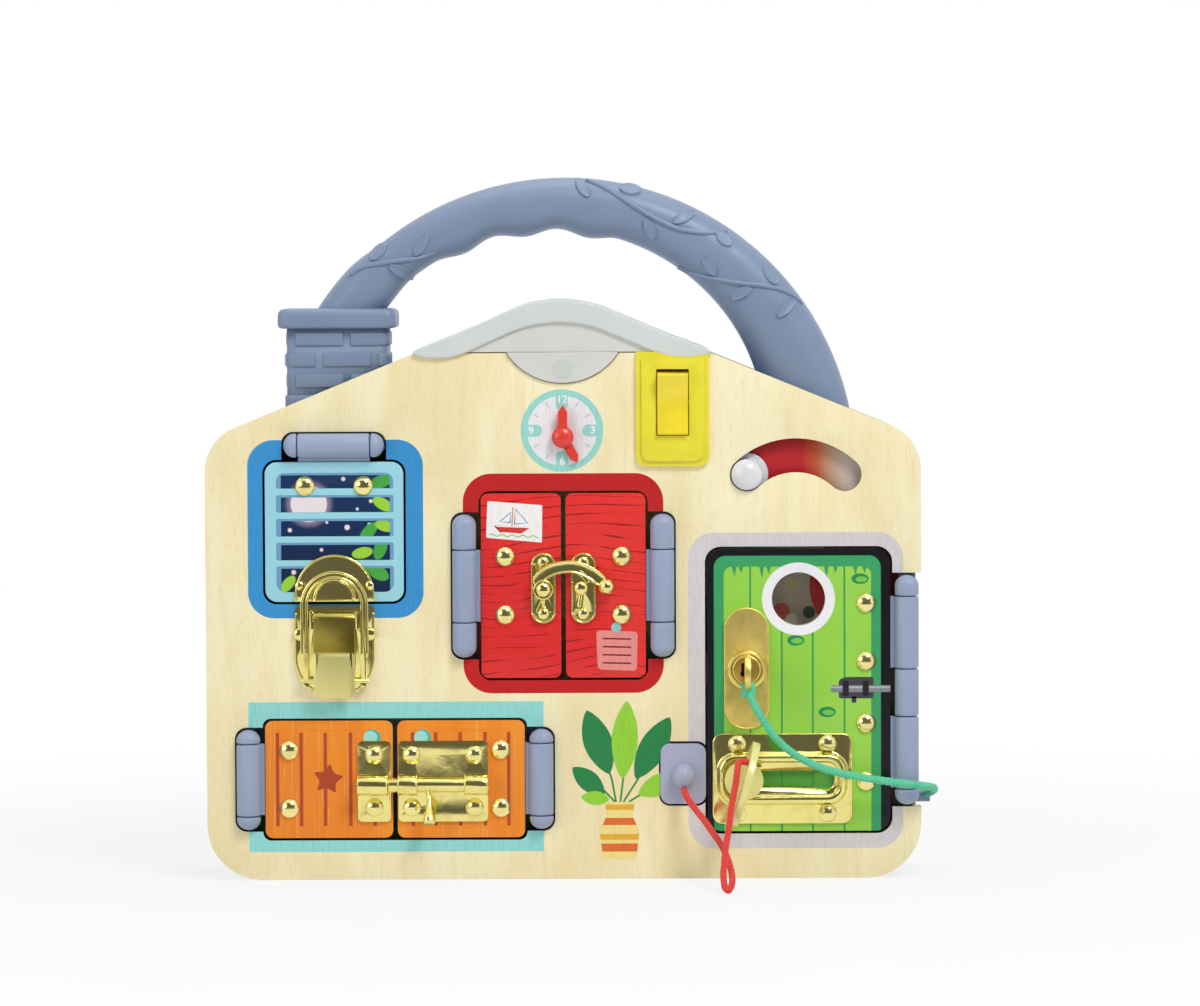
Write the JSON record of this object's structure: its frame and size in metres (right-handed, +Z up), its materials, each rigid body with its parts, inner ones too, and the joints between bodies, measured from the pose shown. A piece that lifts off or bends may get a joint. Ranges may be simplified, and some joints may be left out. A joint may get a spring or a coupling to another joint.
{
  "type": "wooden busy board",
  "caption": "House-shaped plywood busy board with a carrying handle, small hinged doors, latches, a key lock, a chain knob, clock hands, a rocker switch and a slider.",
  "frame": {"origin": "middle of the bottom face of the moulded frame, on the surface the board stands on", "axes": "+X to the right seen from the front, +Y into the board from its front face, +Z up"},
  "size_m": [0.3071, 0.1093, 0.2947],
  "materials": {
    "plywood": "clear-lacquered birch plywood",
    "blue_grey_plastic": "satin moulded plastic",
    "frosted_plastic": "frosted translucent plastic",
    "brass": "polished brass-plated steel",
    "dark_brass": "dull brass",
    "steel": "zinc-plated steel",
    "yellow_plastic": "glossy plastic",
    "red_plastic": "glossy plastic",
    "white_plastic": "glossy plastic",
    "printed_red": "printed and lacquered plywood",
    "printed_orange": "printed and lacquered plywood",
    "printed_blue": "printed and lacquered plywood",
    "printed_green": "printed and lacquered plywood",
    "printed_board": "printed fibreboard",
    "circuit": "green circuit board",
    "cell": "printed steel jacket",
    "black_plastic": "black moulded plastic",
    "red_cord": "braided polyester cord",
    "green_cord": "braided polyester cord"
  },
  "bodies": {
    "board": {"front_panel": "plywood", "core_frame": "blue_grey_plastic", "back_panel": "plywood", "picture_board": "printed_board", "chimney": "blue_grey_plastic", "handle": "blue_grey_plastic", "lamp_cover": "frosted_plastic", "lamp_board": "circuit", "battery_box": "black_plastic", "battery_door": "blue_grey_plastic", "batteries": "cell", "board_fasteners": "steel", "switch_plate": "yellow_plastic", "clock_pin": "red_plastic", "slider_track": "red_plastic", "hinge_bases": "blue_grey_plastic", "hinge_pins": "steel", "latch_base": "brass", "cord_block": "blue_grey_plastic", "red_cord": "red_cord", "green_cord": "green_cord"},
    "rocker": {"rocker": "yellow_plastic"},
    "hour_hand": {"hour_hand": "red_plastic"},
    "minute_hand": {"minute_hand": "red_plastic"},
    "slider": {"slider_knob": "white_plastic"},
    "window": {"window_flap": "printed_blue", "window_leaf": "blue_grey_plastic", "window_fasteners": "brass", "catch_plate": "brass"},
    "latch_lever": {"latch_lever": "brass"},
    "latch_loop": {"latch_loop": "brass"},
    "red_left": {"red_door_left": "printed_red", "red_leaf_left": "blue_grey_plastic", "red_left_fasteners": "brass", "hook_plate": "brass"},
    "red_right": {"red_door_right": "printed_red", "red_leaf_right": "blue_grey_plastic", "red_right_fasteners": "brass", "post_plate": "brass"},
    "hook_arm": {"hook_arm": "brass"},
    "gate_left": {"gate_left": "printed_orange", "gate_leaf_left": "blue_grey_plastic", "gate_left_fasteners": "brass", "keeper": "brass"},
    "gate_right": {"gate_right": "printed_orange", "gate_leaf_right": "blue_grey_plastic", "gate_right_fasteners": "brass", "bolt_plate": "brass"},
    "bolt_rod": {"bolt_rod": "brass"},
    "main_door": {"main_door": "printed_green", "main_leaf": "blue_grey_plastic", "main_fasteners": "brass", "escutcheon": "brass", "lock_body": "brass", "chain_plate": "brass"},
    "key": {"lock_plug": "brass", "key": "brass"},
    "lock_bolt": {"lock_bolt": "dark_brass"},
    "chain_knob": {"chain_knob": "yellow_plastic"}
  },
  "joints": [
    {"name": "rocker_tilt", "type": "hinge", "parent": "board", "child": "rocker", "pos_m": [0.046, -0.026, 0.2002], "axis": [-1, 0, 0], "range_deg": [0, 14]},
    {"name": "hour_hand_turn", "type": "hinge", "parent": "board", "child": "hour_hand", "pos_m": [0, -0.026, 0.1858], "axis": [0, 1, 0], "continuous": true},
    {"name": "minute_hand_turn", "type": "hinge", "parent": "board", "child": "minute_hand", "pos_m": [0, -0.026, 0.1858], "axis": [0, 1, 0], "continuous": true},
    {"name": "slider_sweep", "type": "hinge", "parent": "board", "child": "slider", "pos_m": [0.0975, -0.026, 0.1477], "axis": [0, 1, 0], "range_deg": [0, 85.6]},
    {"name": "latch_lever_pivot", "type": "hinge", "parent": "board", "child": "latch_lever", "pos_m": [-0.0959, -0.031, 0.11], "axis": [-1, 0, 0], "range_deg": [0, 150]},
    {"name": "latch_loop_pivot", "type": "hinge", "parent": "latch_lever", "child": "latch_loop", "pos_m": [-0.0959, -0.0296, 0.084], "axis": [1, 0, 0], "range_deg": [0, 250]},
    {"name": "window_hinge", "type": "hinge", "parent": "board", "child": "window", "pos_m": [-0.0959, -0.0268, 0.1827], "axis": [-1, 0, 0], "range_deg": [0, 75]},
    {"name": "red_left_hinge", "type": "hinge", "parent": "board", "child": "red_left", "pos_m": [-0.0415, -0.0268, 0.1235], "axis": [0, 0, -1], "range_deg": [0, 110]},
    {"name": "red_right_hinge", "type": "hinge", "parent": "board", "child": "red_right", "pos_m": [0.0415, -0.0268, 0.1235], "axis": [0, 0, 1], "range_deg": [0, 110]},
    {"name": "hook_swing", "type": "hinge", "parent": "red_left", "child": "hook_arm", "pos_m": [-0.0084, -0.0296, 0.1221], "axis": [0, -1, 0], "range_deg": [0, 85]},
    {"name": "gate_left_hinge", "type": "hinge", "parent": "board", "child": "gate_left", "pos_m": [-0.1325, -0.0268, 0.0423], "axis": [0, 0, -1], "range_deg": [0, 110]},
    {"name": "gate_right_hinge", "type": "hinge", "parent": "board", "child": "gate_right", "pos_m": [-0.0095, -0.0268, 0.0423], "axis": [0, 0, 1], "range_deg": [0, 110]},
    {"name": "bolt_slide", "type": "slide", "parent": "gate_right", "child": "bolt_rod", "axis": [1, 0, 0], "range_m": [-0.0035, 0.011]},
    {"name": "main_door_hinge", "type": "hinge", "parent": "board", "child": "main_door", "pos_m": [0.1439, -0.0268, 0.0792], "axis": [0, 0, 1], "range_deg": [0, 100], "deforming": ["red_cord", "green_cord"]},
    {"name": "key_turn", "type": "hinge", "parent": "main_door", "child": "key", "pos_m": [0.0767, -0.026, 0.0879], "axis": [0, -1, 0], "range_deg": [-90, 90], "deforming": ["green_cord"]},
    {"name": "lock_bolt_slide", "type": "slide", "parent": "main_door", "child": "lock_bolt", "axis": [1, 0, 0], "range_m": [-0.004, 0.004]},
    {"name": "chain_knob_slide", "type": "slide", "parent": "main_door", "child": "chain_knob", "axis": [1, 0, 0], "range_m": [0, 0.033], "deforming": ["red_cord"]}
  ],
  "couplings": [
    {"joint": "latch_loop_pivot", "follows": "latch_lever_pivot", "ratio": 1.66},
    {"joint": "window_hinge", "follows": "latch_lever_pivot", "ratio": 0.5},
    {"joint": "red_right_hinge", "follows": "red_left_hinge", "ratio": 1},
    {"joint": "gate_right_hinge", "follows": "gate_left_hinge", "ratio": 1},
    {"joint": "lock_bolt_slide", "follows": "key_turn", "m_per_rad": 0.002546}
  ]
}
